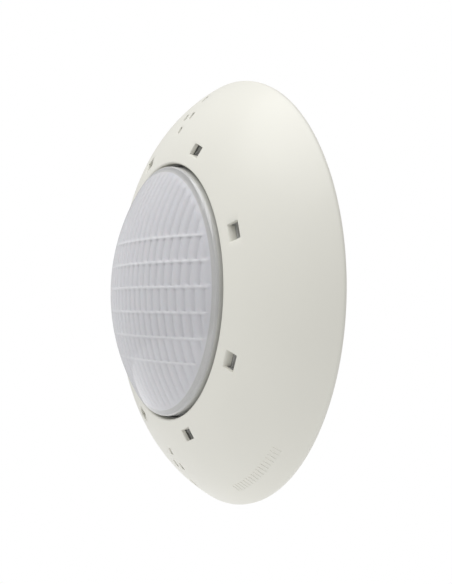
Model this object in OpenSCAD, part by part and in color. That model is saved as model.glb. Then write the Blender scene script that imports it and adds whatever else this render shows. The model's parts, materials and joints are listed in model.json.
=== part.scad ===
// Surface-mounted underwater pool light with a domed clip-on cover.
// In every module the lamp's own axis is +Z and the wall is the plane Z = 0.
// place() then turns it: the wall becomes Y = 0, the light faces -Y, 12 o'clock is +Z.
// A clock angle is counted from 12 o'clock towards +X, as seen from the front.

/* [Cover] */
// Outside diameter of the cover
cover_d = 277; // [276:0.5:279]
// Diameter of the round opening that the lens looks through
opening_d = 164; // [163:0.5:166]
// Wall thickness of the cover
cover_t = 2.5; // [2:0.1:2.8]
// Gap between the cover's rim and the wall
rim_gap = 0.3; // [0.2:0.1:1]
// Number of hooks, with a window in front of each
hook_count = 8; // [8]
// Width of a hook, round the cover
hook_w = 9; // [7:0.5:9.5]

/* [Lens] */
// Height of the lens's crown above the wall
lens_h = 68.9; // [66:0.5:72]
// Diameter of the lens's domed part
lens_d = 160; // [159:0.5:160.5]
// Wall thickness of the lens
lens_t = 3; // [2.5:0.1:3.4]

/* [Lamp] */
// Outside diameter of the housing's bowl
bowl_d = 168; // [166:0.5:168]
// Wall thickness of the housing
housing_t = 2.5; // [2.2:0.1:2.8]
// LEDs in the innermost ring; each ring outside it has as many more
led_step = 6; // [5:1:6]
// Rings of LEDs
led_rings = 3; // [2:1:3]

/* [Wall bracket] */
// Diameter of the wall plate
plate_d = 236; // [232:1:240]
// Thickness of the wall plate
plate_t = 3; // [2.5:0.1:3]
// Diameter of the cable hole in the middle of the wall plate
entry_d = 25; // [20:1:30]
// Radius of the circle of wall-screw holes
wall_hole_r = 110; // [109:0.5:111]

/* [Hidden] */
$fn = 96;
eps = 0.01;

// Cover: its section is one arc, so the outside is a slice of a torus.
cover_r = cover_d / 2;
opening_r = opening_d / 2;
arc_r = 93.4;
arc_centre_r = 60;
arc_centre_z = -48.6;
inner_arc_r = arc_r - cover_t;
lip_t = 2;
lip_bottom = 37;
window_r = 93.2;
window_size = [10.5, 7.2];
collar_r = [88.3, 89.6];
collar_bottom = 34.9;
vent_size = [3, 4];
vent_places = [[0, 105], [-4.4, 114.5], [4.4, 114.5], [0, 127.5]];
rib_t = 1.6;
rib_depth = 4;
rib_r = [101, 132];
hook_r = [96.8, 99.3];
hook_bottom = 24;
barb_tip_r = 95.3;
barb_z = [28, 29.7];
hook_first = 180 / hook_count;

// Lens: a spherical cap on a short straight wall, with a flange round its foot.
lens_r = lens_d / 2;
lens_ball_r = 141.7;
lens_ball_z = lens_h - lens_ball_r;
lens_flange_r = 89;
lens_flange_z = [30.4, 34];

// Clamp ring over the lens's flange, and the notches that the hooks pass through.
ring_outer_r = 98;
ring_lip_r = 81.5;
ring_z = [30, 36];
notch_w = 11;
ring_notch_r = 95;
pocket_w = 11.5;
upper_pocket = [87.9, 34.5];
lower_pocket = [90.4, 31.6];
flange_notch_r = 94;
clamp_count = 8;
clamp_r = 93.6;
clamp_seat_z = 31.6;

// Housing: a bowl with a flange, four lugs and a channel for the cable across its back.
bowl_r = bowl_d / 2;
bowl_z = [4.5, 24];
bowl_chamfer = 4;
flange_top = 30;
floor_top = bowl_z[0] + housing_t;
groove_r = [84.6, 87.6];
groove_bottom = 28.4;
channel_w = 14;
channel_top = 12.5;
pocket_r = 16;
lug_r = 103.5;
lug_w = 14;
lug_z = [14, 18];
lug_first = 45;
boss_r = 66;
boss_d = 8;

// Inner stack, from the back to the front.
driver_z = [16, 17.6];
driver_r = 70;
sink_z = [25, 28];
sink_r = 75;
pad_t = 0.4;
led_board_z = [sink_z[1] + pad_t, sink_z[1] + pad_t + 1.6];
led_board_r = 73;
led_size = [3.5, 3.5, 1.4];
led_pitch_r = 18;
reflector_z = [33, 35];
reflector_r = 75.5;
board_screw_count = 6;
spacer_places = [[-44, 34], [44, 34], [-44, -34], [44, -34]];
lead_hole = [0, 9];
lead_hole_r = 3.4;
lead_r = 0.8;
lead_x = 1.6;

// Cable gland on the housing's left side, pointing away from the lamp's axis.
gland_face_r = 86.5;
gland_inner_r = 79.5;
gland_z = 15;
thread_r = 6;
thread_gap = 0.06;
gland_flange_s = [1.4, 5.4];
gland_thread_s = [-11.5, 14];
gland_flats = 15;
seal_s = [7, 15];
seal_pocket_r = 4.8;
cable_r = 3.2;
slip_s = [15.3, 16.3];
nut_s = [6.5, 19];
nut_shoulder_s = 16.6;
nut_flats = 14.4;

// Bracket.
plate_r = plate_d / 2;
wall_hole_d = 5.2;
window_count = 8;
bracket_window_r = 62;
bracket_window = [26, 14];
post_top = lug_z[0] - 0.3;
insert_bottom = 5;

module place() {
    rotate([90, 0, 0]) children();
}

module at_clock(clock, r, side = 0) {
    rotate([0, 0, -clock]) translate([side, r, 0]) children();
}

module all_round(count, r, first = 0) {
    for (i = [0 : count - 1]) at_clock(first + i * 360 / count, r) children();
}

module disc(r, z) {
    translate([0, 0, z[0]]) cylinder(r = r, h = z[1] - z[0]);
}

module ring(r_in, r_out, z) {
    difference() {
        disc(r_out, z);
        disc(r_in, [z[0] - 1, z[1] + 1]);
    }
}

module block(size, z) {
    translate([0, 0, (z[0] + z[1]) / 2]) cube([size[0], size[1], z[1] - z[0]], center = true);
}

module hexagon(flats, z) {
    rotate([0, 0, 30]) translate([0, 0, z[0]]) cylinder(d = flats / cos(30), h = z[1] - z[0], $fn = 6);
}

module along_gland() {
    translate([-gland_face_r, 0, gland_z]) rotate([0, -90, 0]) children();
}

module arc_band(r_from, r_to, ball_out, ball_in) {
    intersection() {
        difference() {
            translate([arc_centre_r, arc_centre_z]) circle(r = ball_out);
            translate([arc_centre_r, arc_centre_z]) circle(r = ball_in);
        }
        translate([r_from, rim_gap]) square([r_to - r_from, lip_bottom + 10]);
    }
}

module cover_section() {
    arc_band(opening_r, cover_r, arc_r, inner_arc_r);
    translate([opening_r, lip_bottom]) square([lip_t, 4]);
}

module cover_rib() {
    rotate([90, 0, 90]) linear_extrude(height = rib_t, center = true) intersection() {
        difference() {
            translate([arc_centre_r, arc_centre_z]) circle(r = inner_arc_r + 1);
            translate([arc_centre_r, arc_centre_z]) circle(r = inner_arc_r - rib_depth);
        }
        translate([rib_r[0], rim_gap + 2]) square([rib_r[1] - rib_r[0], 40]);
    }
}

module hook() {
    translate([0, (hook_r[0] + hook_r[1]) / 2, 0])
        block([hook_w, hook_r[1] - hook_r[0]], [hook_bottom, 35.3]);
    rotate([90, 0, 90]) linear_extrude(height = hook_w, center = true) polygon([
        [hook_r[0] + 0.5, hook_bottom],
        [hook_r[0], hook_bottom],
        [barb_tip_r, barb_z[0]],
        [barb_tip_r, barb_z[1]],
        [hook_r[0] + 0.5, barb_z[1]]
    ]);
}

module hook_notches(floor_r, z) {
    all_round(hook_count, floor_r + 10, hook_first) block([notch_w, 20], z);
}

// A pan head on a plain shank: the head stands on z = 0 and the shank points down.
module pan_screw(head_r, head_h, shank_r, length) {
    difference() {
        cylinder(r = head_r, h = head_h);
        for (turn = [0, 90]) rotate([0, 0, turn])
            translate([0, 0, head_h]) cube([head_r * 1.1, head_r * 0.3, head_h], center = true);
    }
    translate([0, 0, -length]) cylinder(r = shank_r, h = length + eps);
}

module trim_cover() {
    color([0.93, 0.92, 0.89]) place() {
        difference() {
            rotate_extrude() cover_section();
            all_round(hook_count, window_r, hook_first) block(window_size, [25, 60]);
            for (group = [0, 180], spot = vent_places)
                at_clock(group, spot[1], spot[0]) block(vent_size, [0, 60]);
        }
        all_round(hook_count, 0, hook_first) hook();
        all_round(hook_count, (collar_r[0] + collar_r[1]) / 2, hook_first)
            block([window_size[0], collar_r[1] - collar_r[0]], [collar_bottom, lip_bottom + 1.5]);
        all_round(2 * hook_count, 0, hook_first / 2) cover_rib();
    }
}

module lens() {
    color([0.85, 0.87, 0.9, 0.7]) place() rotate_extrude() {
        difference() {
            intersection() {
                translate([0, lens_ball_z]) circle(r = lens_ball_r);
                translate([0, lens_flange_z[1] - eps]) square([lens_r, lens_h]);
            }
            intersection() {
                translate([0, lens_ball_z]) circle(r = lens_ball_r - lens_t);
                translate([-eps, lens_flange_z[1] - 1]) square([lens_r - lens_t + eps, lens_h]);
            }
        }
        translate([lens_r - lens_t, lens_flange_z[0]])
            square([lens_flange_r - lens_r + lens_t, lens_flange_z[1] - lens_flange_z[0]]);
    }
}

module lens_gasket() {
    color([0.75, 0.76, 0.76]) place()
        ring(groove_r[0] + 0.1, groove_r[1] - 0.1, [groove_bottom, lens_flange_z[0]]);
}

module clamp_ring() {
    color([0.55, 0.55, 0.54]) place() difference() {
        rotate_extrude() polygon([
            [ring_lip_r, lens_flange_z[1]],
            [ring_lip_r, ring_z[1]],
            [90.5, ring_z[1]],
            [92.5, 34.6],
            [ring_outer_r, 32.6],
            [ring_outer_r, ring_z[0]],
            [lens_flange_r + 0.4, ring_z[0]],
            [lens_flange_r + 0.4, lens_flange_z[1]]
        ]);
        hook_notches(ring_notch_r, [25, 40]);
        for (pocket = [upper_pocket, lower_pocket])
            all_round(hook_count, pocket[0] + 10, hook_first) block([pocket_w, 20], [pocket[1], 40]);
        all_round(clamp_count, clamp_r) disc(2.2, [25, 40]);
        all_round(clamp_count, clamp_r) disc(3.8, [clamp_seat_z, 40]);
    }
}

module clamp_screws() {
    color([0.75, 0.75, 0.76]) place() all_round(clamp_count, clamp_r)
        translate([0, 0, clamp_seat_z]) pan_screw(3.5, 2.2, 2, 6.5);
}

module clamp_inserts() {
    color([0.8, 0.65, 0.35]) place() all_round(clamp_count, clamp_r) ring(2.05, 2.9, [24.8, flange_top]);
}

module lamp_housing() {
    color([0.88, 0.88, 0.86]) place() difference() {
        union() {
            difference() {
                rotate_extrude() polygon([
                    [0, bowl_z[0]],
                    [bowl_r - bowl_chamfer, bowl_z[0]],
                    [bowl_r, bowl_z[0] + bowl_chamfer],
                    [bowl_r, bowl_z[1]],
                    [ring_outer_r, bowl_z[1]],
                    [ring_outer_r, flange_top],
                    [bowl_r - housing_t, flange_top],
                    [bowl_r - housing_t, floor_top + bowl_chamfer],
                    [bowl_r - housing_t - bowl_chamfer, floor_top],
                    [0, floor_top]
                ]);
                hook_notches(flange_notch_r, [20, 40]);
            }
            all_round(4, 0, lug_first) {
                translate([0, (lug_r + bowl_r - 1) / 2, 0]) block([lug_w, lug_r - bowl_r + 1], lug_z);
                translate([0, lug_r, 0]) disc(lug_w / 2, lug_z);
            }
            all_round(4, boss_r, lug_first) disc(boss_d / 2, [floor_top - 1, sink_z[0]]);
            disc(pocket_r + 2, [floor_top - 1, channel_top + 2]);
            translate([0, -(bowl_r - 3) / 2, 0])
                block([channel_w + 4, bowl_r - 3], [floor_top - 1, channel_top + 2]);
            along_gland() disc(10, [gland_inner_r - gland_face_r, 0]);
        }
        disc(pocket_r, [0, channel_top]);
        translate([0, -bowl_r / 2, 0]) block([channel_w, bowl_r + 10], [0, channel_top]);
        all_round(4, lug_r, lug_first) disc(2.8, [0, 40]);
        all_round(4, boss_r, lug_first) disc(1.6, [15, 40]);
        all_round(clamp_count, clamp_r) disc(2.9, [24.8, 40]);
        ring(groove_r[0], groove_r[1], [groove_bottom, 40]);
        along_gland()
            hexagon(gland_flats + 0.6, [gland_inner_r - gland_face_r - 3.4, gland_inner_r - gland_face_r]);
        along_gland() disc(thread_r + thread_gap, [-20, 20]);
        along_gland() disc(20, [0, 3]);
    }
}

module heat_sink() {
    color([0.72, 0.73, 0.75]) place() difference() {
        union() {
            disc(sink_r, sink_z);
            ring(sink_r - 3, sink_r, [19, sink_z[0] + 1]);
        }
        all_round(4, boss_r, lug_first) {
            disc(1.9, [0, 40]);
            translate([0, 0, sink_z[1] - 1.6]) cylinder(r1 = 1.9, r2 = 3.5, h = 1.6 + eps);
        }
        all_round(board_screw_count, boss_r) disc(1.5, [0, 40]);
        translate(lead_hole) disc(lead_hole_r, [0, 40]);
    }
}

module heat_sink_screws() {
    color([0.75, 0.75, 0.76]) place() all_round(4, boss_r, lug_first) {
        translate([0, 0, sink_z[1] - 1.5]) cylinder(r1 = 1.5, r2 = 3, h = 1.5);
        disc(1.5, [18, sink_z[1] - 1.4]);
    }
}

module thermal_pad() {
    color([0.55, 0.62, 0.7]) place() difference() {
        disc(led_board_r, [sink_z[1], led_board_z[0]]);
        all_round(board_screw_count, boss_r) disc(1.8, [0, 40]);
        translate(lead_hole) disc(lead_hole_r, [0, 40]);
    }
}

module led_board() {
    color([0.93, 0.94, 0.94]) place() difference() {
        disc(led_board_r, led_board_z);
        all_round(board_screw_count, boss_r) disc(1.8, [0, 40]);
        translate(lead_hole) disc(lead_hole_r, [0, 40]);
    }
}

module on_led_rings() {
    for (row = [1 : led_rings])
        all_round(led_step * row, led_pitch_r * row, 180 / (led_step * row)) children();
}

module led_emitters() {
    color([0.95, 0.9, 0.55]) place() on_led_rings()
        block([led_size[0], led_size[1]], [led_board_z[1], led_board_z[1] + led_size[2]]);
}

module reflector_plate() {
    color([0.95, 0.95, 0.95]) place() difference() {
        union() {
            disc(reflector_r, reflector_z);
            ring(reflector_r - 1.6, reflector_r, [reflector_z[0], reflector_z[1] + 3]);
            all_round(board_screw_count, boss_r) disc(3.5, [led_board_z[1], reflector_z[0] + 1]);
        }
        on_led_rings() translate([0, 0, reflector_z[0] - eps])
            cylinder(r1 = 3, r2 = 4.6, h = reflector_z[1] - reflector_z[0] + 2 * eps);
        all_round(board_screw_count, boss_r) disc(1.8, [0, 40]);
    }
}

module board_screws() {
    color([0.75, 0.75, 0.76]) place() all_round(board_screw_count, boss_r)
        translate([0, 0, reflector_z[1]]) pan_screw(2.8, 1.8, 1.5, 9);
}

module driver_board() {
    color([0.1, 0.4, 0.22]) place() difference() {
        disc(driver_r, driver_z);
        all_round(4, boss_r, lug_first) disc(boss_d / 2 + 1, [0, 40]);
        for (spot = spacer_places) translate(spot) disc(1.7, [0, 40]);
    }
}

module board_spacers() {
    color([0.8, 0.65, 0.35]) place() for (spot = spacer_places) translate(spot) difference() {
        hexagon(5.5, [floor_top, driver_z[0]]);
        disc(1.5, [floor_top + 2, 40]);
    }
}

module driver_screws() {
    color([0.75, 0.75, 0.76]) place() for (spot = spacer_places) translate(spot)
        translate([0, 0, driver_z[1]]) pan_screw(2.8, 1.8, 1.45, 6);
}

module bridge_rectifier() {
    color([0.15, 0.15, 0.16]) place() translate([-38, 8, 0]) block([9, 15], [driver_z[1], driver_z[1] + 4]);
}

module capacitors() {
    color([0.3, 0.34, 0.42]) place() for (i = [0 : 2])
        translate([-18 + 14 * i, -38, 0]) {
            disc(5, [driver_z[1] + 1, driver_z[1] + 6.4]);
            block([10.6, 10.6], [driver_z[1], driver_z[1] + 1]);
        }
}

module inductor_core() {
    color([0.3, 0.3, 0.3]) place() translate([26, 12, driver_z[1] + 3.4])
        rotate_extrude() translate([7.5, 0]) circle(r = 2.2);
}

module inductor_winding() {
    color([0.75, 0.4, 0.2]) place() translate([26, 12, driver_z[1] + 3.4]) for (i = [0 : 13])
        rotate([0, 0, i * 24]) translate([7.5, 0, 0]) rotate([90, 0, 0])
            rotate_extrude() translate([2.6, 0]) circle(r = 0.35);
}

module driver_chips() {
    color([0.12, 0.12, 0.13]) place() {
        translate([0, 30, 0]) block([10, 8], [driver_z[1], driver_z[1] + 2.2]);
        translate([24, -22, 0]) block([6.6, 9.5], [driver_z[1], driver_z[1] + 2.4]);
        translate([-20, -14, 0]) block([5, 4], [driver_z[1], driver_z[1] + 1.6]);
    }
}

module terminal_block() {
    color([0.2, 0.45, 0.3]) place() translate([-58, 0, 0]) difference() {
        block([9, 11], [driver_z[1], driver_z[1] + 7]);
        for (side = [-2.6, 2.6]) {
            translate([-4.6, side, driver_z[1] + 2.4]) rotate([0, 90, 0]) cylinder(r = 1.4, h = 6);
            translate([0, side, 0]) disc(1.8, [driver_z[1] + 4.4, 40]);
        }
    }
}

module terminal_screws() {
    color([0.78, 0.78, 0.78]) place() for (side = [-2.6, 2.6]) translate([-58, side, 0]) difference() {
        disc(1.7, [driver_z[1] + 4.4, driver_z[1] + 6.4]);
        translate([0, 0, driver_z[1] + 6.4]) cube([4, 0.6, 1.4], center = true);
    }
}

// One lead of the pair that rises from the driver board to the LED board's front.
module led_lead(side) {
    translate([lead_hole[0] + side * lead_x, lead_hole[1], 0]) {
        disc(lead_r, [driver_z[1], led_board_z[1] + lead_r]);
        translate([0, 0, led_board_z[1] + lead_r]) {
            sphere(r = lead_r);
            rotate([-90, 0, -side * 25]) cylinder(r = lead_r, h = 5.5);
        }
    }
}

module led_lead_positive() {
    color([0.75, 0.12, 0.1]) place() led_lead(1);
}

module led_lead_negative() {
    color([0.1, 0.1, 0.1]) place() led_lead(-1);
}

module gland_washer() {
    color([0.12, 0.12, 0.12]) place() along_gland() ring(thread_r + 0.1, 7.4, [0, gland_flange_s[0]]);
}

module gland_body() {
    color([0.82, 0.82, 0.8]) place() along_gland() difference() {
        union() {
            hexagon(gland_flats, gland_flange_s);
            disc(thread_r, gland_thread_s);
        }
        disc(cable_r + 0.6, [-30, 30]);
        disc(seal_pocket_r, [seal_s[0], 30]);
    }
}

module gland_lock_nut() {
    color([0.82, 0.82, 0.8]) place() along_gland() difference() {
        hexagon(gland_flats, [gland_inner_r - gland_face_r - 3, gland_inner_r - gland_face_r]);
        disc(thread_r + thread_gap, [-30, 30]);
    }
}

module gland_seal() {
    color([0.15, 0.15, 0.15]) place() along_gland() ring(cable_r, seal_pocket_r - 0.05, seal_s);
}

module gland_slip_ring() {
    color([0.85, 0.85, 0.82]) place() along_gland() ring(cable_r + 0.4, 5.2, slip_s);
}

module gland_nut() {
    color([0.82, 0.82, 0.8]) place() along_gland() difference() {
        hexagon(nut_flats, nut_s);
        disc(thread_r + thread_gap, [0, nut_shoulder_s]);
        disc(cable_r + 0.8, [0, 30]);
    }
}

module housing_screws() {
    color([0.75, 0.75, 0.76]) place() all_round(4, lug_r, lug_first)
        translate([0, 0, lug_z[1] + 1]) pan_screw(4.3, 3, 2.5, 12.5);
}

module screw_washers() {
    color([0.85, 0.85, 0.83]) place()
        all_round(4, lug_r, lug_first) ring(2.55, 5.5, [lug_z[1], lug_z[1] + 1]);
}

module bracket_inserts() {
    color([0.8, 0.65, 0.35]) place()
        all_round(4, lug_r, lug_first) ring(2.58, 3.6, [insert_bottom, post_top]);
}

module wall_bracket() {
    color([0.9, 0.9, 0.88]) place() difference() {
        union() {
            disc(plate_r, [0, plate_t]);
            all_round(4, lug_r, lug_first) {
                disc(6.5, [0, post_top]);
                for (turn = [-60, 60]) rotate([0, 0, turn])
                    translate([0, -6, 0]) block([1.8, 8], [plate_t - 1, 10]);
            }
            all_round(4, wall_hole_r) disc(5.5, [0, plate_t + 1]);
        }
        disc(entry_d / 2, [-1, 20]);
        all_round(4, wall_hole_r) disc(wall_hole_d / 2, [-1, 20]);
        all_round(4, lug_r, lug_first) disc(3.6, [insert_bottom, 20]);
        all_round(window_count, bracket_window_r, 360 / window_count / 2) block(bracket_window, [-1, 20]);
    }
}

trim_cover();
clamp_ring();
clamp_screws();
clamp_inserts();
lens();
lens_gasket();
reflector_plate();
board_screws();
led_emitters();
led_board();
thermal_pad();
heat_sink();
heat_sink_screws();
driver_board();
board_spacers();
driver_screws();
bridge_rectifier();
capacitors();
inductor_core();
inductor_winding();
driver_chips();
terminal_block();
terminal_screws();
led_lead_positive();
led_lead_negative();
lamp_housing();
gland_washer();
gland_body();
gland_lock_nut();
gland_seal();
gland_slip_ring();
gland_nut();
housing_screws();
screw_washers();
bracket_inserts();
wall_bracket();
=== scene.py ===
"""Underwater pool light: the looks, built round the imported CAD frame."""

import json
import math

import bmesh
import bpy
from mathutils import Matrix, Vector
from mathutils.geometry import delaunay_2d_cdt


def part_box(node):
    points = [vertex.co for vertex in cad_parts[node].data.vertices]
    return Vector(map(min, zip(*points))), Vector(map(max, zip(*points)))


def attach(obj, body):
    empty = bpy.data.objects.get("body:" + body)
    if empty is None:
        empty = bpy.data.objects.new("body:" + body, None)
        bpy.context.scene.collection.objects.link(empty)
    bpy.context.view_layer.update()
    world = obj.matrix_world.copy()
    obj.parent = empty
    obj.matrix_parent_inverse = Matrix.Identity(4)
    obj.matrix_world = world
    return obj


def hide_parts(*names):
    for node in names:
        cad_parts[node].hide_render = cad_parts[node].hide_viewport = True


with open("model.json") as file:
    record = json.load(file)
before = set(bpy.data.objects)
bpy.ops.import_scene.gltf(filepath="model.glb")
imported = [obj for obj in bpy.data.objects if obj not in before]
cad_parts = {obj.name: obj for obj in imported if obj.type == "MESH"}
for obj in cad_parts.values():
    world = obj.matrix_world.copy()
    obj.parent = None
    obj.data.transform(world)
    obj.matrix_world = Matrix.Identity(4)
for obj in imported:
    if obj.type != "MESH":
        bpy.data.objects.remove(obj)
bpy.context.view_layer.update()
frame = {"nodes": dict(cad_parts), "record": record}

# The lamp's own axes are x to the right, y up to 12 o'clock and z away from the wall, in millimetres.
MM = 0.001


def to_frame(x, y, z):
    """A point in the lamp's own axes, in millimetres, as a point in the row frame, in metres."""
    return (x * MM, -z * MM, y * MM)


def reach(node):
    """A CAD node's greatest radius, and its top and its foot above the wall, in millimetres."""
    low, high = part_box(node)
    return max(high[0], high[2]) / MM, -low[1] / MM, -high[1] / MM


COVER_R, _, COVER_FOOT = reach("trim_cover")
LENS_FLANGE_R, LENS_TOP, LENS_FOOT = reach("lens")
OBJECT_CENTRE = Vector((0.0, -LENS_TOP * MM / 2, 0.0))


# --------------------------------------------------------------------------- camera

CAMERA_AZIMUTH, CAMERA_ELEVATION, CAMERA_ROLL = 61.6, 1.164, 1.735
CAMERA_DISTANCE, CAMERA_SIDEWAYS, CAMERA_UPWARDS = 0.4963, 0.00398, 0.000286
CAMERA_LENS_MM, SENSOR_MM = 45.3, 36.0
CAMERA_CLIP = (0.01, 50.0)


def make_camera():
    """The photo's camera, fitted to the outlines in the photo."""
    a, e, roll = (math.radians(v) for v in (CAMERA_AZIMUTH, CAMERA_ELEVATION, CAMERA_ROLL))
    back = Vector((math.sin(a) * math.cos(e), -math.cos(a) * math.cos(e), math.sin(e)))
    right = Vector((math.cos(a), math.sin(a), 0.0))
    up = back.cross(right)
    rolled_right = right * math.cos(roll) + up * math.sin(roll)
    rolled_up = up * math.cos(roll) - right * math.sin(roll)
    data = bpy.data.cameras.new("camera")
    data.lens = CAMERA_LENS_MM
    data.sensor_width = SENSOR_MM
    data.clip_start, data.clip_end = CAMERA_CLIP
    camera = bpy.data.objects.new("camera", data)
    turn = Matrix((rolled_right, rolled_up, back)).transposed().to_4x4()
    place = back * CAMERA_DISTANCE + right * CAMERA_SIDEWAYS + up * CAMERA_UPWARDS
    camera.matrix_world = Matrix.Translation(place) @ turn
    bpy.context.scene.collection.objects.link(camera)
    bpy.context.scene.camera = camera


make_camera()


# --------------------------------------------------------------------------- materials

# The colour sockets of the Mix node share their names with others, so they go by number.
MIX_FACTOR, MIX_A, MIX_B, MIX_RESULT = 0, 6, 7, 2
# Most of a noise texture lies between these two values.
NOISE_LOW, NOISE_HIGH = 0.3, 0.7


class Nodes:
    """A short way to build a node tree."""

    def __init__(self, tree):
        self.tree = tree

    def add(self, kind, **settings):
        """A node with its settings, each of them an attribute or, with _ for a space, an input socket."""
        node = self.tree.nodes.new(kind)
        for key, value in settings.items():
            if hasattr(node, key):
                setattr(node, key, value)
            else:
                node.inputs[key.replace("_", " ")].default_value = value
        return node

    def link(self, out, into):
        self.tree.links.new(out, into)

    def remap(self, value, low, high, from_low=NOISE_LOW, from_high=NOISE_HIGH):
        """A value from one range put into another, and held at its ends."""
        node = self.add("ShaderNodeMapRange", From_Min=from_low, From_Max=from_high, To_Min=low, To_Max=high)
        self.link(value, node.inputs["Value"])
        return node.outputs["Result"]


class Material(Nodes):
    """A material with its nodes round the Principled shader."""

    def __init__(self, name):
        self.material = bpy.data.materials.new(name)
        self.material.use_nodes = True
        super().__init__(self.material.node_tree)
        self.shader = self.tree.nodes["Principled BSDF"]

    def set(self, **sockets):
        """Constants on the shader's own sockets, with _ for a space."""
        for key, value in sockets.items():
            self.shader.inputs[key.replace("_", " ")].default_value = value

    def place(self):
        """Where a point lies on the object, in metres."""
        return self.add("ShaderNodeTexCoord").outputs["Object"]

    def noise(self, scale, detail=3.0):
        """Noise with this many waves to a metre."""
        node = self.add("ShaderNodeTexNoise", Scale=scale, Detail=detail)
        self.link(self.place(), node.inputs["Vector"])
        return node.outputs["Fac"]

    def shades(self, value, colour, low, high):
        """Base colour that swings between two shades of one colour."""
        mix = self.add("ShaderNodeMix", data_type="RGBA")
        mix.inputs[MIX_A].default_value = (*shade(colour, low), 1.0)
        mix.inputs[MIX_B].default_value = (*shade(colour, high), 1.0)
        self.link(self.remap(value, 0.0, 1.0), mix.inputs[MIX_FACTOR])
        self.link(mix.outputs[MIX_RESULT], self.shader.inputs["Base Color"])

    def rough(self, value, low, high):
        """Roughness that swings between two values."""
        self.link(self.remap(value, low, high), self.shader.inputs["Roughness"])

    def bump(self, value, distance):
        """Relief of this depth, in metres."""
        node = self.add("ShaderNodeBump", Strength=1.0, Distance=distance)
        self.link(value, node.inputs["Height"])
        self.link(node.outputs["Normal"], self.shader.inputs["Normal"])


def shade(colour, factor):
    """A colour made lighter or darker."""
    return tuple(min(1.0, c * factor) for c in colour)


PLASTIC_MOTTLE, PLASTIC_SWING = 22.0, (0.88, 1.12)


def plastic(name, colour, roughness=0.4, grain=900.0, depth=0.00002, patchy=0.03, coat=0.0, glow=0.0):
    """Moulded plastic: faint mottling, and a fine texture from the tool in roughness and bump."""
    look = Material(name)
    look.set(IOR=1.49, Coat_Weight=coat, Coat_Roughness=0.12, Subsurface_Weight=glow, Subsurface_Scale=0.002)
    look.shades(look.noise(PLASTIC_MOTTLE, 4.0), colour, 1 - patchy, 1 + patchy)
    fine = look.noise(grain, 2.0)
    look.rough(fine, roughness * PLASTIC_SWING[0], roughness * PLASTIC_SWING[1])
    look.bump(fine, depth)
    return look.material


METAL_LINES, METAL_STRETCH = 260.0, (1.0, 30.0, 1.0)
METAL_SHADES, METAL_SWING, METAL_DEPTH = (0.92, 1.06), (0.75, 1.3), 0.00001


def metal(name, colour, roughness=0.3):
    """Turned or drawn metal: fine lines in roughness and bump."""
    look = Material(name)
    look.set(Metallic=1.0)
    stretch = look.add("ShaderNodeMapping", Scale=METAL_STRETCH)
    look.link(look.place(), stretch.inputs["Vector"])
    noise = look.add("ShaderNodeTexNoise", Scale=METAL_LINES, Detail=4.0)
    look.link(stretch.outputs["Vector"], noise.inputs["Vector"])
    lines = noise.outputs["Fac"]
    look.shades(lines, colour, *METAL_SHADES)
    look.rough(lines, roughness * METAL_SWING[0], roughness * METAL_SWING[1])
    look.bump(lines, METAL_DEPTH)
    return look.material


RUBBER_MOTTLE, RUBBER_GRAIN = 60.0, 1500.0
RUBBER_SHADES, RUBBER_SWING, RUBBER_DEPTH = (0.9, 1.12), (0.9, 1.08), 0.00004


def rubber(name, colour, roughness=0.7):
    """Soft rubber or silicone: matt, with a fine grain."""
    look = Material(name)
    look.set(Specular_IOR_Level=0.35)
    look.shades(look.noise(RUBBER_MOTTLE, 4.0), colour, *RUBBER_SHADES)
    fine = look.noise(RUBBER_GRAIN, 2.0)
    look.rough(fine, roughness * RUBBER_SWING[0], roughness * RUBBER_SWING[1])
    look.bump(fine, RUBBER_DEPTH)
    return look.material


TRACK_SCALE, TRACK_WIDTH, TRACK_DEPTH = 130.0, 0.09, 0.00003
RESIST_GRAIN, RESIST_ROUGHNESS, RESIST_LIGHTER = 300.0, (0.25, 0.4), 1.15


def circuit_board(name, resist, track):
    """Solder resist over copper tracks that run along the board's axes."""
    look = Material(name)
    brick = look.add(
        "ShaderNodeTexBrick",
        offset=0.37,
        squash=0.7,
        Scale=TRACK_SCALE,
        Mortar_Size=TRACK_WIDTH,
        Color1=(*resist, 1.0),
        Color2=(*shade(resist, RESIST_LIGHTER), 1.0),
        Mortar=(*track, 1.0),
    )
    swing = look.add("ShaderNodeMapping", Rotation=(math.radians(90), 0.0, 0.0))
    look.link(look.place(), swing.inputs["Vector"])
    look.link(swing.outputs["Vector"], brick.inputs["Vector"])
    look.link(brick.outputs["Color"], look.shader.inputs["Base Color"])
    look.rough(look.noise(RESIST_GRAIN), *RESIST_ROUGHNESS)
    look.bump(brick.outputs["Fac"], TRACK_DEPTH)
    return look.material


SKIN_HAZE, SKIN_ROUGHNESS = 0.7, (0.06, 0.12)
SKIN_GRAIN, SKIN_WAVES, SKIN_WAVE_DEPTH = 35.0, 9.0, 0.0004


def clear_skin(name):
    """The lens's polished outer skin: clear polycarbonate, with a light haze and a faint waviness."""
    look = Material(name)
    look.set(
        Base_Color=(0.99, 0.99, 1.0, 1.0),
        Transmission_Weight=1.0,
        IOR=1.6,
        Sheen_Weight=SKIN_HAZE,
        Sheen_Roughness=0.35,
        Sheen_Tint=(0.5, 0.5, 0.53, 1.0),
    )
    look.rough(look.noise(SKIN_GRAIN), *SKIN_ROUGHNESS)
    look.bump(look.noise(SKIN_WAVES, 1.0), SKIN_WAVE_DEPTH)
    return look.material


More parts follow.
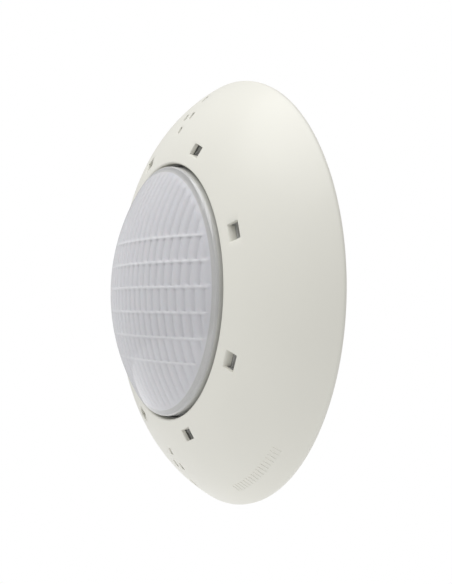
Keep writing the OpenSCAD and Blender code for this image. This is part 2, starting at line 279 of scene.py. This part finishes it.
SLOT_MATERIALS = {
    "cover": plastic("cover", (0.81, 0.80, 0.73), roughness=0.42, patchy=0.008, coat=0.05),
    "ring": plastic("ring", (0.55, 0.55, 0.54), roughness=0.45, grain=500.0, depth=0.00006, patchy=0.12),
    "lens": plastic("lens_milk", (0.605, 0.605, 0.63), roughness=0.4, grain=700.0, patchy=0.015, glow=0.05),
    "silicone": rubber("silicone", (0.62, 0.63, 0.63)),
    "reflector": plastic("reflector", (0.88, 0.88, 0.88), roughness=0.25),
    "white_board": circuit_board("white_board", (0.82, 0.83, 0.82), (0.72, 0.73, 0.72)),
    "led": plastic("led", (0.9, 0.78, 0.25), roughness=0.2, coat=0.5),
    "thermal_pad": rubber("thermal_pad", (0.4, 0.47, 0.56)),
    "aluminium": metal("aluminium", (0.72, 0.73, 0.75), roughness=0.38),
    "green_board": circuit_board("green_board", (0.02, 0.16, 0.07), (0.05, 0.27, 0.12)),
    "brass": metal("brass", (0.72, 0.55, 0.25), roughness=0.3),
    "steel": metal("steel", (0.62, 0.62, 0.62), roughness=0.28),
    "chip": plastic("chip", (0.03, 0.03, 0.033), roughness=0.55, patchy=0.1),
    "capacitor": metal("capacitor", (0.45, 0.48, 0.53), roughness=0.25),
    "ferrite": rubber("ferrite", (0.07, 0.07, 0.075), roughness=0.6),
    "copper": metal("copper", (0.75, 0.33, 0.14), roughness=0.22),
    "terminal": plastic("terminal", (0.05, 0.24, 0.11), roughness=0.4),
    "lead_red": plastic("lead_red", (0.55, 0.03, 0.02), roughness=0.4),
    "lead_black": plastic("lead_black", (0.02, 0.02, 0.02), roughness=0.4),
    "housing": plastic("housing", (0.72, 0.72, 0.69), roughness=0.5, patchy=0.02),
    "gland": plastic("gland", (0.66, 0.66, 0.64), roughness=0.45),
    "black_rubber": rubber("black_rubber", (0.025, 0.025, 0.026)),
    "bracket": plastic("bracket", (0.74, 0.74, 0.71), roughness=0.5, patchy=0.02),
}

for part in frame["record"]["subparts"]:
    cad_object = frame["nodes"][part["node"]]
    for cad_slot in cad_object.material_slots:
        cad_slot.material = SLOT_MATERIALS[part["material_slot"]]


# --------------------------------------------------------------------------- mesh helpers


def make_piece(name, points, faces, body, material, smooth_angle=35.0):
    """A closed mesh in the lamp's own axes, smooth up to an angle, riding on a body."""
    mesh = bpy.data.meshes.new(name)
    mesh.from_pydata([to_frame(*p) for p in points], [], faces)
    mesh.validate()
    shell = bmesh.new()
    shell.from_mesh(mesh)
    bmesh.ops.recalc_face_normals(shell, faces=shell.faces)
    shell.to_mesh(mesh)
    shell.free()
    mesh.update()
    piece = bpy.data.objects.new(name, mesh)
    bpy.context.scene.collection.objects.link(piece)
    mesh.shade_smooth()
    mesh.set_sharp_from_angle(angle=math.radians(smooth_angle))
    mesh.materials.append(material)
    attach(piece, body)
    return piece


def around(r, clock, z):
    """A point at a clock angle in degrees from 12 o'clock, towards +x."""
    a = math.radians(clock)
    return (r * math.sin(a), r * math.cos(a), z)


class Mesh:
    """Points and faces that grow together."""

    def __init__(self):
        self.points = []
        self.faces = []

    def point(self, p):
        self.points.append(p)
        return len(self.points) - 1

    def loop(self, points):
        return [self.point(p) for p in points]

    def ring(self, r, z, count):
        """A loop of even points round the lamp's axis."""
        return self.loop([around(r, 360 * i / count, z) for i in range(count)])

    def bridge(self, a, b):
        """Quads between two loops of the same length."""
        for i in range(len(a)):
            j = (i + 1) % len(a)
            self.faces.append((a[i], a[j], b[j], b[i]))

    def join(self, loops, flip=False):
        """Quads between each loop and the next one."""
        for a, b in zip(loops, loops[1:]):
            if flip:
                a, b = b, a
            self.bridge(a, b)

    def cap(self, first, last):
        """A face over each end of a row of loops."""
        self.faces.append(tuple(first))
        self.faces.append(tuple(last))


def arc(centre, radius, start, end, count):
    """Points on an arc of a section, with angles in degrees from the outward direction."""
    out = []
    for i in range(count + 1):
        a = math.radians(start + (end - start) * i / count)
        out.append((centre[0] + radius * math.cos(a), centre[1] + radius * math.sin(a)))
    return out


def spread(low, high, count):
    """Even steps from one value to another, with both of them."""
    return [low + (high - low) * i / count for i in range(count + 1)]


def clocks(count):
    """The clock angles of this many even places, half a step from 12 o'clock."""
    return [(i + 0.5) * 360 / count for i in range(count)]


def turned(clock, side, r, z):
    """A point at a side and a radius from the lamp's axis, on the spoke at a clock angle."""
    a = math.radians(clock)
    return (side * math.cos(a) + r * math.sin(a), r * math.cos(a) - side * math.sin(a), z)


# --------------------------------------------------------------------------- cover

COVER_T = 2.5
ARC_R, ARC_CENTRE = 93.4, (60.0, -48.6)
OPENING_R, LIP_T, LIP_BOTTOM, LIP_ROUND = 82.0, 2.0, 37.0, 1.1
# A ring this far under the lip's rounding holds its edge, and the rounding ends at this share of the slope.
LIP_HOLD, LIP_LEAN, LIP_POINTS = 1.0, 0.6, 5
RIM_ROUND, RIM_POINTS, RIM_TURN_Z = 0.35, 3, 1.75
RIM_R, INNER_RIM_R = (136.4, 137.3, 138.0, COVER_R - 0.15), 135.8
STEPS = 480

# The windows and the vents each lie in a block of the cover's grid, which has this many even rows between
# the two radii of its band.
HOLE_ROWS = 8
WINDOW_BAND, VENT_BANDS = (88.5, 98.5), ((101.0, 109.0), (110.5, 118.5), (123.5, 131.5))
LIP_SIDE_R, MIDDLE_R, RIM_SIDE_R = [83.6, 84.5, 86.0, 87.3], [120.2, 121.8], [132.8, 134.0, 135.0]
WINDOW_COUNT, WINDOW_R, WINDOW_HALF, WINDOW_CORNER = 8, 93.2, (5.25, 3.6), 0.6
WINDOW_COLUMNS = 16
VENT_CLOCKS, VENT_HALF, VENT_CORNER = (0.0, 180.0), (1.7, 2.2), 0.5
# Each vent of a group: side and radius of its middle, its band, and its columns from the group's middle.
VENTS = [
    (0.0, 105.0, VENT_BANDS[0], (-5, 5)),
    (-4.4, 114.5, VENT_BANDS[1], (-6, 0)),
    (4.4, 114.5, VENT_BANDS[1], (0, 6)),
    (0.0, 127.5, VENT_BANDS[2], (-5, 5)),
]
# A hole's edge is rounded by this much, and the ring between has this share of it.
EDGE_ROUND, EDGE_BETWEEN = 0.4, 0.3


def dome(r, under=0.0):
    """Height of the cover's outside, or of a surface that far under it."""
    return ARC_CENTRE[1] + math.sqrt((ARC_R - under) ** 2 - (r - ARC_CENTRE[0]) ** 2)


def round_rect(s, t, half, corner, grow):
    """The point of a rounded rectangle that matches (s, t) on the edge of the square from -1 to 1."""
    a, b, c = half[0] + grow, half[1] + grow, corner + grow
    x, y = abs(s) * a, abs(t) * b
    if x > a - c and y > b - c:
        if abs(t) >= abs(s):
            angle = math.radians(90 - 45 * (x - a + c) / c)
        else:
            angle = math.radians(45 * (y - b + c) / c)
        x, y = a - c + c * math.cos(angle), b - c + c * math.sin(angle)
    return math.copysign(x, s), math.copysign(y, t)


def cover_rows():
    """Radii of the rings on the cover, between the lip and the rim."""
    rows = LIP_SIDE_R + spread(*WINDOW_BAND, HOLE_ROWS)
    rows += spread(*VENT_BANDS[0], HOLE_ROWS)
    rows += spread(*VENT_BANDS[1], HOLE_ROWS) + MIDDLE_R
    rows += spread(*VENT_BANDS[2], HOLE_ROWS) + RIM_SIDE_R
    return rows


def cover_holes(rows):
    """Each hole: first column, columns, first row, clock angle, side, radius, half size and corner."""
    holes = []
    row = rows.index(WINDOW_BAND[0])
    for clock in clocks(WINDOW_COUNT):
        first = round(clock / 360 * STEPS) - WINDOW_COLUMNS // 2
        holes.append((first, WINDOW_COLUMNS, row, clock, 0.0, WINDOW_R, WINDOW_HALF, WINDOW_CORNER))
    for clock in VENT_CLOCKS:
        middle = round(clock / 360 * STEPS)
        for side, r, band, (left, right) in VENTS:
            row = rows.index(band[0])
            holes.append((middle + left, right - left, row, clock, side, r, VENT_HALF, VENT_CORNER))
    return holes


def lip_section():
    """Section of the lip, from its foot up the opening and over the rounding."""
    round_r = OPENING_R + LIP_ROUND
    slope = math.degrees(math.atan2(round_r - ARC_CENTRE[0], ARC_R))
    round_z = dome(round_r) - LIP_ROUND
    section = [(OPENING_R, LIP_BOTTOM), (OPENING_R, round_z - LIP_HOLD)]
    return section + arc((round_r, round_z), LIP_ROUND, 180, 90 - slope * LIP_LEAN, LIP_POINTS)


def rim_section():
    """Section of the rim, from the dome's outside round its foot and back to the dome's inside."""
    section = [(r, dome(r)) for r in RIM_R] + [(COVER_R, RIM_TURN_Z)]
    section += arc((COVER_R - RIM_ROUND, COVER_FOOT + RIM_ROUND), RIM_ROUND, 0, -90, RIM_POINTS)
    foot_r = ARC_CENTRE[0] + math.sqrt((ARC_R - COVER_T) ** 2 - (COVER_FOOT - ARC_CENTRE[1]) ** 2)
    return section + [(foot_r, COVER_FOOT), (INNER_RIM_R, dome(INNER_RIM_R, COVER_T))]


def cover_hole(mesh, outer, inner, hole):
    """The rounded edge and the wall of a hole, joined to the grid on both sides of the cover."""
    first, wide, row, clock, side, r, half, corner = hole
    edge = [(i, 0) for i in range(wide)] + [(wide, j) for j in range(HOLE_ROWS)]
    edge += [(wide - i, HOLE_ROWS) for i in range(wide)] + [(0, HOLE_ROWS - j) for j in range(HOLE_ROWS)]

    def grid_loop(rings):
        return [rings[row + j][(first + i) % STEPS] for i, j in edge]

    def hole_loop(grow, under, sink):
        loop = []
        for i, j in edge:
            x, y = round_rect(2 * i / wide - 1, 2 * j / HOLE_ROWS - 1, half, corner, grow)
            x, y = side + x, r + y
            radius = math.hypot(x, y)
            at = clock + math.degrees(math.atan2(x, y))
            loop.append(mesh.point(around(radius, at, dome(radius, under) - sink)))
        return loop

    loops = [grid_loop(outer), hole_loop(EDGE_ROUND, 0.0, 0.0)]
    loops.append(hole_loop(EDGE_ROUND * EDGE_BETWEEN, 0.0, EDGE_ROUND * EDGE_BETWEEN))
    loops.append(hole_loop(0.0, 0.0, EDGE_ROUND))
    loops.append(hole_loop(0.0, COVER_T, 0.0))
    loops.append(grid_loop(inner))
    mesh.join(loops)


def cover_shell(mesh):
    """The dome's outside and inside, closed at the lip and the rim, with all its holes."""
    rows = cover_rows()
    holes = cover_holes(rows)
    outer = [mesh.ring(r, dome(r), STEPS) for r in rows]
    inner = [mesh.ring(r, dome(r, COVER_T), STEPS) for r in rows]
    open_cells = set()
    for first, wide, row, *_ in holes:
        open_cells.update(((first + i) % STEPS, row + j) for i in range(wide) for j in range(HOLE_ROWS))

    def sheet(rings, flip):
        for j, (a, b) in enumerate(zip(rings, rings[1:])):
            for i in range(STEPS):
                if (i, j) not in open_cells:
                    k = (i + 1) % STEPS
                    quad = (a[i], a[k], b[k], b[i])
                    mesh.faces.append(quad[::-1] if flip else quad)

    sheet(outer, True)
    sheet(inner, False)
    lip = [mesh.ring(r, z, STEPS) for r, z in lip_section()]
    mesh.join(lip + [outer[0]], flip=True)
    rim = [mesh.ring(r, z, STEPS) for r, z in rim_section()]
    mesh.join([outer[-1]] + rim + [inner[-1]], flip=True)
    under_lip = mesh.ring(OPENING_R + LIP_T, LIP_BOTTOM, STEPS)
    behind_lip = mesh.ring(OPENING_R + LIP_T, dome(OPENING_R + LIP_T, COVER_T), STEPS)
    mesh.join([inner[0], behind_lip, under_lip], flip=True)
    mesh.bridge(lip[0], under_lip)
    for hole in holes:
        cover_hole(mesh, outer, inner, hole)


def bar_through(mesh, sections):
    """A closed bar through sections that have the same number of points."""
    loops = [mesh.loop(section) for section in sections]
    mesh.join(loops)
    mesh.cap(loops[0][::-1], loops[-1])


COLLAR_R, COLLAR_Z = (88.3, 89.58), (34.9, 38.4)
HOOK_HALF_W, HOOK_R, HOOK_Z = 4.5, (96.8, 99.3), (24.0, 35.4)
BARB_TIP_R, BARB_Z = 95.3, (28.0, 29.7)
RIB_T, RIB_DEPTH, RIB_R, RIB_ROWS = 1.6, 4.0, (101.0, 132.0), 12
RIB_SINK, RIB_LIFT = 0.6, 2.0


def cover_hooks(mesh):
    """Under each window a hook, whose barb points at the lamp's axis, and a short collar."""
    hook = [
        (HOOK_R[1], HOOK_Z[1]),
        (HOOK_R[1], HOOK_Z[0]),
        (HOOK_R[0], HOOK_Z[0]),
        (BARB_TIP_R, BARB_Z[0]),
        (BARB_TIP_R, BARB_Z[1]),
        (HOOK_R[0], BARB_Z[1]),
        (HOOK_R[0], HOOK_Z[1]),
    ]
    (near, far), (low, high) = COLLAR_R, COLLAR_Z
    collar = [(near, low), (near, high), (far, high), (far, low)]
    for clock in clocks(WINDOW_COUNT):
        for outline, half in ((hook, HOOK_HALF_W), (collar, WINDOW_HALF[0])):
            bar_through(mesh, [[turned(clock, side, r, z) for r, z in outline] for side in (-half, half)])


def cover_ribs(mesh):
    """Stiffening ribs, which reach a little into the dome and end a little above the wall."""
    half = RIB_T / 2
    for clock in clocks(2 * WINDOW_COUNT):
        sections = []
        for r in spread(*RIB_R, RIB_ROWS):
            top = dome(r, COVER_T - RIB_SINK)
            foot = max(dome(r, COVER_T + RIB_DEPTH), COVER_FOOT + RIB_LIFT)
            corners = [(-half, top), (half, top), (half, foot), (-half, foot)]
            sections.append([turned(clock, side, r, z) for side, z in corners])
        bar_through(mesh, sections)


TICK_R, TICK_FIRST, TICK_LAST, TICK_COUNT = (127.4, 131.3), 130.5, 155.0, 17
TICK_HALF_W, TICK_HEIGHT, TICK_SINK, TICK_FLARE = 0.6, 0.4, 0.4, 1.3
# A tick's end: distance along it, share of its width, and height over the cover.
TICK_END = [(0.0, 0.7, -0.3), (0.15, 0.7, 0.8 * TICK_HEIGHT), (0.5, 1.0, TICK_HEIGHT)]


def cover_ticks(mesh):
    """A plain row of raised ticks low on the rim."""
    along = [(TICK_R[0] + step, narrow, lift) for step, narrow, lift in TICK_END]
    along += [(TICK_R[1] - step, narrow, lift) for step, narrow, lift in TICK_END[::-1]]
    for clock in spread(TICK_FIRST, TICK_LAST, TICK_COUNT - 1):
        sections = []
        for r, narrow, lift in along:
            half = TICK_HALF_W * narrow
            foot = dome(r) - TICK_SINK
            top = foot + TICK_SINK + lift
            corners = [(-half, top), (half, top), (half * TICK_FLARE, foot), (-half * TICK_FLARE, foot)]
            sections.append([turned(clock, side, r, z) for side, z in corners])
        bar_through(mesh, sections)


def make_cover():
    """The whole cover as one piece in place of the CAD's."""
    mesh = Mesh()
    cover_shell(mesh)
    cover_hooks(mesh)
    cover_ribs(mesh)
    cover_ticks(mesh)
    piece = make_piece("cover_shell", mesh.points, mesh.faces, "cover", SLOT_MATERIALS["cover"])
    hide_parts("trim_cover")


make_cover()


# --------------------------------------------------------------------------- lens

LENS_R, LENS_BALL_R, LENS_SHOULDER, SHOULDER_POINTS = 80.0, 141.7, 3.0, 8
LENS_BALL_Z = LENS_TOP - LENS_BALL_R
SKIN_T, SKIN_STEPS = 2.4, 256
CROWN_R, CROWN_ROWS = (0.6, 77.5), 44
FLANGE_T, FLANGE_FILLET, FLANGE_CHAMFER = 3.6, 0.3, 0.4


def ball(r, under=0.0):
    """Height of the lens's outside, or of a surface that far under it."""
    return LENS_BALL_Z + math.sqrt((LENS_BALL_R - under) ** 2 - r * r)


def shoulder(under):
    """Section from the dome over the rounded shoulder to the straight wall, that far under the outside."""
    radius = LENS_SHOULDER - under
    centre_r = LENS_R - LENS_SHOULDER
    centre_z = LENS_BALL_Z + math.sqrt((LENS_BALL_R - LENS_SHOULDER) ** 2 - centre_r**2)
    start = 90 - math.degrees(math.asin(centre_r / (LENS_BALL_R - LENS_SHOULDER)))
    return arc((centre_r, centre_z), radius, start, 0, SHOULDER_POINTS)


def make_lens_skin():
    """The lens's clear shell: its crown, its wall and the flange under the clamp ring."""
    flange_top = LENS_FOOT + FLANGE_T
    flange_r = LENS_FLANGE_R - FLANGE_CHAMFER
    profile = [(r, ball(r)) for r in spread(*CROWN_R, CROWN_ROWS)] + shoulder(0.0)
    profile += [(LENS_R, flange_top + FLANGE_FILLET), (LENS_R + FLANGE_FILLET, flange_top)]
    profile += [(flange_r, flange_top), (LENS_FLANGE_R, flange_top - FLANGE_CHAMFER)]
    profile += [(LENS_FLANGE_R, LENS_FOOT + FLANGE_CHAMFER), (flange_r, LENS_FOOT)]
    profile += [(LENS_R - SKIN_T, LENS_FOOT)] + shoulder(SKIN_T)[::-1]
    profile += [(r, ball(r, SKIN_T)) for r in spread(*CROWN_R[::-1], CROWN_ROWS)]
    mesh = Mesh()
    rings = [mesh.ring(r, z, SKIN_STEPS) for r, z in profile]
    mesh.join(rings, flip=True)
    mesh.cap(rings[0], rings[-1][::-1])
    skin = make_piece("lens_skin", mesh.points, mesh.faces, "lamp", clear_skin("lens_skin"))
    # The skin casts no shadow and lets diffuse light past, so the milk is lit in the same way as the cover.
    skin.visible_shadow = False
    skin.visible_diffuse = False
    return skin


# The moulded pattern: upright flutes in bands, with a thin bar between each band and the next. The crests
# lie FLUTE_TOP under the lens's outside, and the flutes die out towards the edge of the pattern.
PATTERN_R, PATTERN_TURN, PATTERN_FADE = 75.6, 2.6, 1.6
FLUTE_PITCH, FLUTE_HEIGHT, FLUTE_TOP = 6.25, 1.3, 0.45
FLUTE_FOOT = FLUTE_TOP + FLUTE_HEIGHT
BAR_PITCH, BAR_OFFSET, BAR_HALF_W, BAR_HEIGHT, BAR_SLOPE = 14.7, 1.3, 1.0, 1.5, 0.55
BAR_BANDS = (-3, 2)

# Its grid: columns in each flute, rows across a bar in half widths, and rows across a band in bar pitches.
FLUTE_COLUMNS, COLUMN_REACH, BAND_REACH, GRID_MARGIN = 8, 100, 7, 0.8
BAR_ROWS, BAND_ROWS = (-1.0, -0.55, 0.0, 0.55, 1.0), (0.18, 0.36, 0.5, 0.64, 0.82)
RIM_STEPS = 360
# The triangulation keeps only what lies inside the rim, and merges points that are closer than this.
KEEP_INSIDE, MERGE_NEAR = 1, 1e-5

# The milky body's plain rim, wall and inside.
BODY_RIM_R, BODY_WALL_UNDER, BODY_FOOT_LIFT = 77.2, 0.3, 0.2
BODY_T, BODY_INNER_WALL_Z, BODY_INNER_R, BODY_INNER_ROWS = 3.0, 42.0, (76.0, 1.0), 24

# Where the body's painted light and shade start: the lighter bars are painted highlight; the darker valleys,
# shoulder and wall are painted shade.
LIT_BAR_FACE, LIT_BAR_GAP, SHADED_VALLEY_SHARE = 0.75, 0.42, 0.62
PLAIN_MARGIN, RIM_MARGIN, WALL_TOP = 1.5, 0.4, 43.0
LIT_BARS, SHADED_VALLEYS, SHADED_SHOULDER, SHADED_WALL = 1, 2, 3, 4
BODY_LOOKS = [
    # Lighter bars: painted highlight, where the bars' edges catch the light.
    ("lens_bars_painted_light", (0.66, 0.66, 0.68), 0.02),
    # Darker valleys between the flutes: painted shade.
    ("lens_valleys_painted_shade", (0.585, 0.585, 0.61), 0.02),
    # Darker grey shoulder: painted shade from the lip over the lens's edge.
    ("lens_shoulder_painted_shade", (0.50, 0.50, 0.49), 0.01),
    # Darker beige wall: painted shade from the gap under the lip, with the cover's colour painted in as a
    # reflection.
    ("lens_wall_painted_shade_and_reflection", (0.58, 0.58, 0.55), 0.01),
]


def off_bar(y):
    """How far a height on the pattern grid is from the nearest bar's middle."""
    nearest = min(BAR_BANDS[1], max(BAR_BANDS[0], round((y - BAR_OFFSET) / BAR_PITCH)))
    return abs(y - BAR_OFFSET - nearest * BAR_PITCH)


def flute_height(x, y):
    """Height of the moulded pattern at a point of the pattern grid."""
    band = min(BAR_BANDS[1], max(BAR_BANDS[0] - 1, math.floor((y - BAR_OFFSET) / BAR_PITCH)))
    shift = 0.5 * FLUTE_PITCH * (band % 2)
    u = ((x + shift) / FLUTE_PITCH) % 1.0 - 0.5
    flute = FLUTE_HEIGHT * (1 - (2 * u) ** 2)
    rise = min(1.0, max(0.0, (BAR_HALF_W - off_bar(y)) / (BAR_SLOPE * BAR_HALF_W)))
    return flute + (BAR_HEIGHT - flute) * rise


def spin(x, y, degrees):
    """A point turned about the lamp's axis, anticlockwise as seen from the front."""
    a = math.radians(degrees)
    return x * math.cos(a) - y * math.sin(a), x * math.sin(a) + y * math.cos(a)


def pattern_grid():
    """Points of the pattern grid inside the pattern's edge, closest together across the bars."""
    columns = [i * FLUTE_PITCH / FLUTE_COLUMNS for i in range(-COLUMN_REACH, COLUMN_REACH + 1)]
    rows = []
    for band in range(-BAND_REACH, BAND_REACH):
        start = BAR_OFFSET + band * BAR_PITCH
        rows += [start + BAR_HALF_W * v for v in BAR_ROWS]
        rows += [start + BAR_PITCH * v for v in BAND_ROWS]
    return [(x, y) for y in sorted(rows) for x in columns if math.hypot(x, y) < PATTERN_R - GRID_MARGIN]


def body_crown(mesh):
    """The patterned crown, whose first points are its rim. Returns the rim."""
    turns = [2 * math.pi * i / RIM_STEPS for i in range(RIM_STEPS)]
    rim = [(PATTERN_R * math.sin(a), PATTERN_R * math.cos(a)) for a in turns]
    edges = [(i, (i + 1) % RIM_STEPS) for i in range(RIM_STEPS)]
    flat = [Vector(p) for p in rim + pattern_grid()]
    points, _, faces, *_ = delaunay_2d_cdt(flat, edges, [], KEEP_INSIDE, MERGE_NEAR)
    for p in points:
        fade = min(1.0, max(0.0, (PATTERN_R - p.length) / PATTERN_FADE))
        height = ball(p.length, FLUTE_FOOT) + fade * flute_height(p.x, p.y)
        mesh.point((*spin(p.x, p.y, PATTERN_TURN), height))
    mesh.faces += [tuple(f) for f in faces]
    return list(range(RIM_STEPS))


def body_wall(mesh, rim):
    """The rest of the milky body, from the crown's rim down its wall and back up under the crown."""
    angles = [math.degrees(math.atan2(mesh.points[i][0], mesh.points[i][1])) for i in rim]
    foot_z, inner_r = LENS_FOOT + BODY_FOOT_LIFT, LENS_R - BODY_T
    profile = [(BODY_RIM_R, ball(BODY_RIM_R, FLUTE_FOOT))] + shoulder(BODY_WALL_UNDER)[2:]
    profile += [(LENS_R - BODY_WALL_UNDER, foot_z), (inner_r, foot_z), (inner_r, BODY_INNER_WALL_Z)]
    profile += [(r, ball(r, BODY_T)) for r in spread(*BODY_INNER_R, BODY_INNER_ROWS)]
    loops = [rim] + [mesh.loop([around(r, a, z) for a in angles]) for r, z in profile]
    mesh.join(loops, flip=True)
    mesh.faces.append(tuple(loops[-1][::-1]))


def paint_light_and_shade(piece):
    """Gives the bars a lighter colour, a painted highlight, and the valleys between flutes, the plain rim at
    the shoulder and the wall darker colours, painted shade; the wall's beige is also a painted reflection of
    the cover.
    """
    for name, colour, patchy in BODY_LOOKS:
        piece.data.materials.append(plastic(name, colour, roughness=0.4, patchy=patchy))
    for face in piece.data.polygons:
        x, y = face.center.x / MM, face.center.z / MM
        across, along = spin(x, y, -PATTERN_TURN)
        # Painted shade on the shoulder and the wall outside the pattern.
        if math.hypot(x, y) > PATTERN_R + RIM_MARGIN:
            face.material_index = SHADED_WALL if -face.center.y / MM < WALL_TOP else SHADED_SHOULDER
        if math.hypot(x, y) > PATTERN_R - PLAIN_MARGIN:
            continue
        # Painted highlight: the bar faces take the lighter colour.
        if off_bar(along) < LIT_BAR_FACE * BAR_HALF_W:
            if abs((across / FLUTE_PITCH) % 1.0 - 0.5) < LIT_BAR_GAP:
                face.material_index = LIT_BARS
        # Painted shade: the low part of each flute takes the darker colour.
        elif flute_height(across, along) < SHADED_VALLEY_SHARE * FLUTE_HEIGHT:
            face.material_index = SHADED_VALLEYS


def make_lens_flutes():
    """The milky body under the skin, with the moulded pattern on its crown."""
    mesh = Mesh()
    body_wall(mesh, body_crown(mesh))
    piece = make_piece("lens_flutes", mesh.points, mesh.faces, "lamp", SLOT_MATERIALS["lens"], 50.0)
    paint_light_and_shade(piece)
    return piece


skin_piece = make_lens_skin()
flute_piece = make_lens_flutes()
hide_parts("lens")
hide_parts("lens")


# --------------------------------------------------------------------------- stage and light

# In metres. The floor glows, so that it looks white, and lights the object a little more than it shows.
FLOOR_R, FLOOR_Z, FLOOR_STEPS, FLOOR_GLOW = 1.22, -0.45, 96, 1.02


def make_floor():
    """A white disc under the object."""
    mesh = bpy.data.meshes.new("floor")
    turns = [2 * math.pi * i / FLOOR_STEPS for i in range(FLOOR_STEPS)]
    rim = [(FLOOR_R * math.cos(a), FLOOR_R * math.sin(a), FLOOR_Z) for a in turns]
    mesh.from_pydata(rim, [], [tuple(range(FLOOR_STEPS))])
    floor = bpy.data.objects.new("floor", mesh)
    bpy.context.scene.collection.objects.link(floor)
    look = Material("floor")
    white = look.add("ShaderNodeEmission")
    path = look.add("ShaderNodeLightPath")
    look.link(look.remap(path.outputs["Is Camera Ray"], FLOOR_GLOW, 1.0, 0.0, 1.0), white.inputs["Strength"])
    look.link(white.outputs[0], look.tree.nodes["Material Output"].inputs["Surface"])
    mesh.materials.append(look.material)


# The room's strength straight below and straight above, what is left of it behind the wall, and a soft lobe
# of fill light round one direction.
ROOM_COLOUR, ROOM_Z, ROOM_BEHIND = (0.8, 0.8, 0.8, 1.0), (0.41, 0.70), 0.6
FILL_FROM, FILL_STRENGTH, FILL_POWER = (-0.82, -0.57, -0.1), 0.50, 4.0


def make_world():
    """A room that lights the object and that the camera sees as plain white."""
    world = bpy.data.worlds.new("studio")
    bpy.context.scene.world = world
    world.use_nodes = True
    nodes = Nodes(world.node_tree)
    nodes.tree.nodes.clear()

    def math_node(operation, *values, **settings):
        """The result of a Math node, with each value a constant or a link."""
        node = nodes.add("ShaderNodeMath", operation=operation, **settings)
        for socket, value in zip(node.inputs, values):
            if isinstance(value, float):
                socket.default_value = value
            else:
                nodes.link(value, socket)
        return node.outputs[0]

    direction = nodes.add("ShaderNodeTexCoord").outputs["Generated"]
    split = nodes.add("ShaderNodeSeparateXYZ")
    nodes.link(direction, split.inputs[0])
    height = nodes.remap(split.outputs["Z"], *ROOM_Z, -1.0, 1.0)
    behind = nodes.remap(split.outputs["Y"], 1.0, ROOM_BEHIND, 0.0, 1.0)
    toward = nodes.add("ShaderNodeVectorMath", operation="DOT_PRODUCT")
    toward.inputs[1].default_value = Vector(FILL_FROM).normalized()
    nodes.link(direction, toward.inputs[0])
    facing = math_node("MAXIMUM", toward.outputs["Value"], 0.0)
    lobe = math_node("POWER", facing, FILL_POWER, use_clamp=True)
    strength = math_node("MULTIPLY_ADD", lobe, FILL_STRENGTH, math_node("MULTIPLY", height, behind))

    room = nodes.add("ShaderNodeBackground", Color=ROOM_COLOUR)
    nodes.link(strength, room.inputs["Strength"])
    seen = nodes.add("ShaderNodeBackground", Color=(1.0, 1.0, 1.0, 1.0))
    mix = nodes.add("ShaderNodeMixShader")
    nodes.link(nodes.add("ShaderNodeLightPath").outputs["Is Camera Ray"], mix.inputs[0])
    nodes.link(room.outputs[0], mix.inputs[1])
    nodes.link(seen.outputs[0], mix.inputs[2])
    nodes.link(mix.outputs[0], nodes.add("ShaderNodeOutputWorld").inputs["Surface"])


# In metres and watts.
KEY_PLACE, KEY_SIZE, KEY_POWER = (0.2, -0.8, 2.3), 2.6, 48.0


def make_key_light():
    """A large square light above and in front, aimed at the object."""
    data = bpy.data.lights.new("key", "AREA")
    data.shape = "RECTANGLE"
    data.size = KEY_SIZE
    data.size_y = KEY_SIZE
    data.energy = KEY_POWER
    lamp = bpy.data.objects.new("key", data)
    aim = OBJECT_CENTRE - Vector(KEY_PLACE)
    lamp.location = KEY_PLACE
    lamp.rotation_euler = aim.to_track_quat("-Z", "Y").to_euler()
    bpy.context.scene.collection.objects.link(lamp)


make_floor()
make_world()
make_key_light()

bpy.context.scene.view_settings.view_transform = "Standard"
